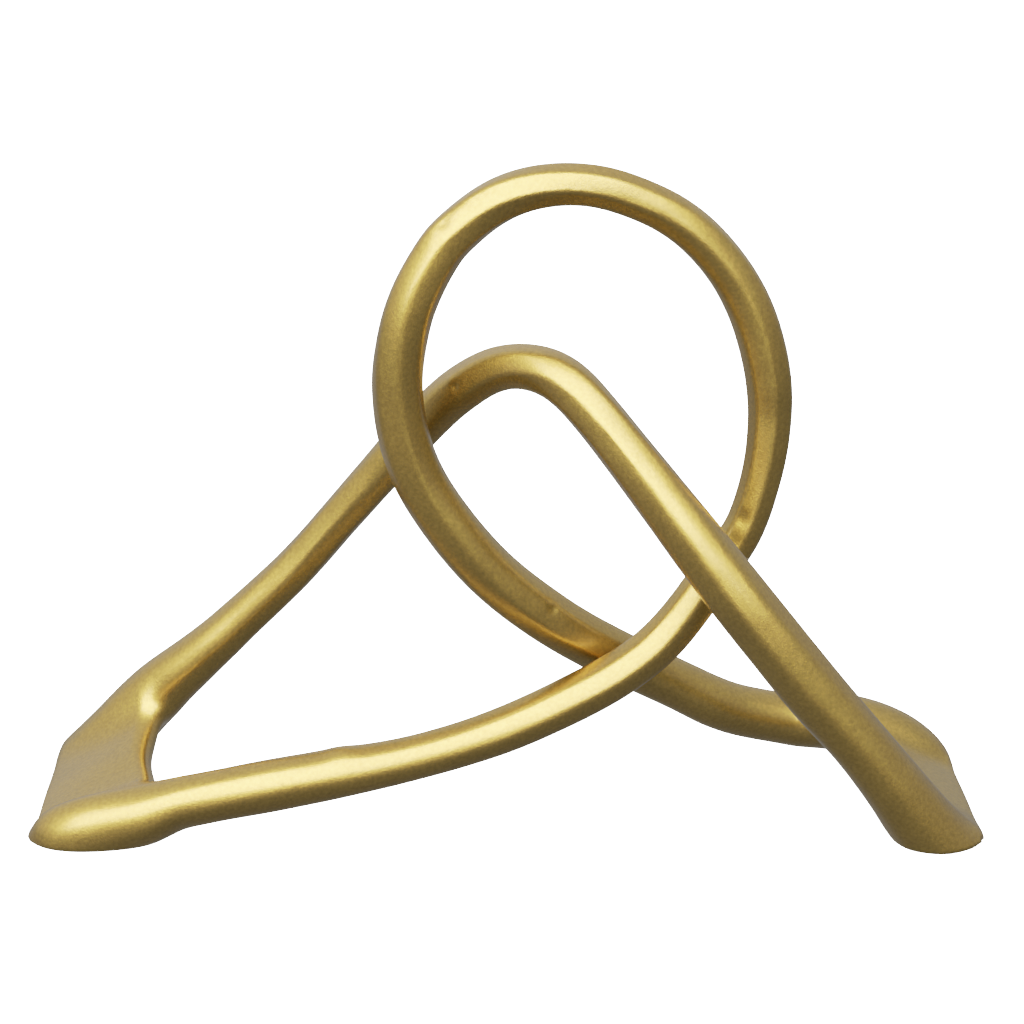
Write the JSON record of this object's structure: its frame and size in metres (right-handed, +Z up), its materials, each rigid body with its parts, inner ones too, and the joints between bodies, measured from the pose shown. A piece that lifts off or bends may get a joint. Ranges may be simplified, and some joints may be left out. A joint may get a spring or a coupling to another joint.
{
  "type": "metal knot sculpture",
  "caption": "Free-standing open knot of one thick metal strand, an arch linked through a tall ring, on flat-cut feet with sloping webs.",
  "frame": {"origin": "middle of the footprint, on the surface the sculpture stands on", "axes": "+X to the viewer's right along the width, +Y away from the viewer, +Z up"},
  "size_m": [0.3739, 0.1008, 0.2534],
  "materials": {
    "gold_metal": "satin gold lacquer over a hand-dressed casting",
    "weld_metal": "weld dressed flush, satin gold lacquer",
    "dowel_steel": "ground",
    "felt": "dense felt"
  },
  "bodies": {
    "root": {"left_foot": "gold_metal", "left_riser": "gold_metal", "arch_top": "gold_metal", "right_foot": "gold_metal", "tail": "gold_metal", "ring_left": "gold_metal", "ring_crown": "gold_metal", "lower_strand": "gold_metal", "riser_foot_weld": "weld_metal", "arch_riser_weld": "weld_metal", "arch_foot_weld": "weld_metal", "tail_foot_weld": "weld_metal", "ring_tail_weld": "weld_metal", "ring_crown_weld": "weld_metal", "strand_ring_weld": "weld_metal", "strand_foot_weld": "weld_metal", "riser_foot_dowel": "dowel_steel", "arch_riser_dowel": "dowel_steel", "arch_foot_dowel": "dowel_steel", "tail_foot_dowel": "dowel_steel", "ring_tail_dowel": "dowel_steel", "ring_crown_dowel": "dowel_steel", "strand_ring_dowel": "dowel_steel", "strand_foot_dowel": "dowel_steel", "pad_left_back": "felt", "pad_left_front": "felt", "pad_right_front": "felt", "pad_right_back": "felt"}
  },
  "joints": []
}
